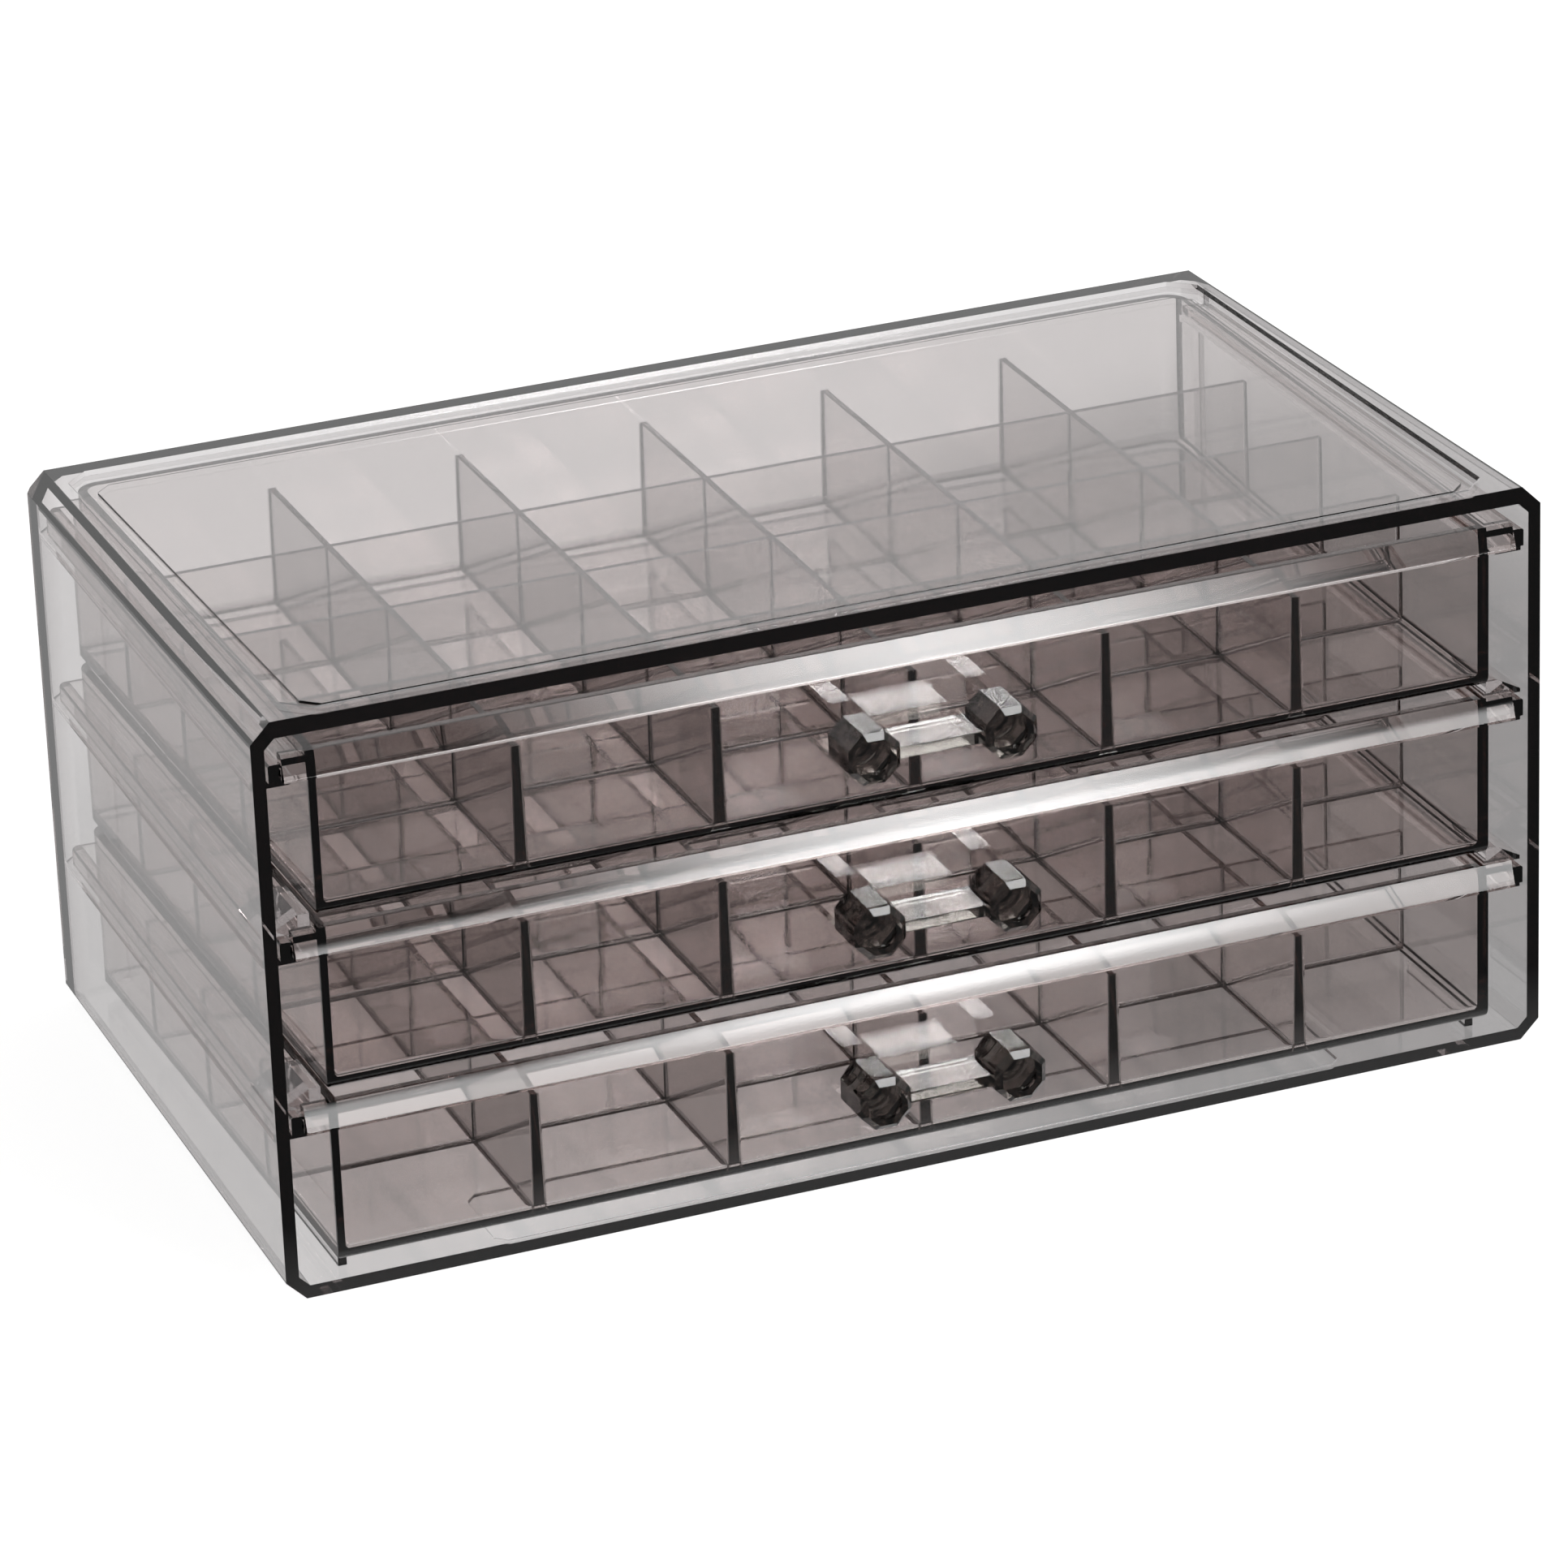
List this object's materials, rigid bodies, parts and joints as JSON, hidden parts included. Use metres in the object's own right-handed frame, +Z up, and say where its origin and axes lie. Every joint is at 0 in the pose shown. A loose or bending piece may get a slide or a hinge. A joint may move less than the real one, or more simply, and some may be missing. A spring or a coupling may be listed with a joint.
{
  "type": "jewellery organizer",
  "caption": "Clear smoke-tinted plastic desktop case with sliding drawers, each divided by an egg-crate of small compartments and pulled by a dumbbell handle.",
  "frame": {"origin": "the middle of the case's base, in the plane it stands on", "axes": "+X is the right-hand side seen from the front, +Y points to the back (the drawers open towards -Y), +Z is up"},
  "size_m": [0.24, 0.1474, 0.1077],
  "materials": {
    "case_plastic": "polished injection-moulded clear polystyrene with a grey-brown smoke tint",
    "tray_plastic": "polished injection-moulded clear polystyrene with a grey-brown smoke tint",
    "divider_plastic": "polished clear smoke polystyrene sheet",
    "handle_plastic": "polished clear smoke polystyrene, thick enough to look dark"
  },
  "bodies": {
    "case": {"case": "case_plastic"},
    "drawer_top": {"tray_top": "tray_plastic", "handle_top": "handle_plastic", "long_divider_top_1": "divider_plastic", "long_divider_top_2": "divider_plastic", "long_divider_top_3": "divider_plastic", "long_divider_top_4": "divider_plastic", "long_divider_top_5": "divider_plastic", "cross_divider_top_1": "divider_plastic", "cross_divider_top_2": "divider_plastic", "cross_divider_top_3": "divider_plastic"},
    "drawer_middle": {"tray_middle": "tray_plastic", "handle_middle": "handle_plastic", "long_divider_middle_1": "divider_plastic", "long_divider_middle_2": "divider_plastic", "long_divider_middle_3": "divider_plastic", "long_divider_middle_4": "divider_plastic", "long_divider_middle_5": "divider_plastic", "cross_divider_middle_1": "divider_plastic", "cross_divider_middle_2": "divider_plastic", "cross_divider_middle_3": "divider_plastic"},
    "drawer_bottom": {"tray_bottom": "tray_plastic", "handle_bottom": "handle_plastic", "long_divider_bottom_1": "divider_plastic", "long_divider_bottom_2": "divider_plastic", "long_divider_bottom_3": "divider_plastic", "long_divider_bottom_4": "divider_plastic", "long_divider_bottom_5": "divider_plastic", "cross_divider_bottom_1": "divider_plastic", "cross_divider_bottom_2": "divider_plastic", "cross_divider_bottom_3": "divider_plastic"}
  },
  "joints": [
    {"name": "drawer_top_slide", "type": "slide", "parent": "case", "child": "drawer_top", "axis": [0, -1, 0], "range_m": [0, 0.105]},
    {"name": "drawer_middle_slide", "type": "slide", "parent": "case", "child": "drawer_middle", "axis": [0, -1, 0], "range_m": [0, 0.105]},
    {"name": "drawer_bottom_slide", "type": "slide", "parent": "case", "child": "drawer_bottom", "axis": [0, -1, 0], "range_m": [0, 0.105]}
  ]
}
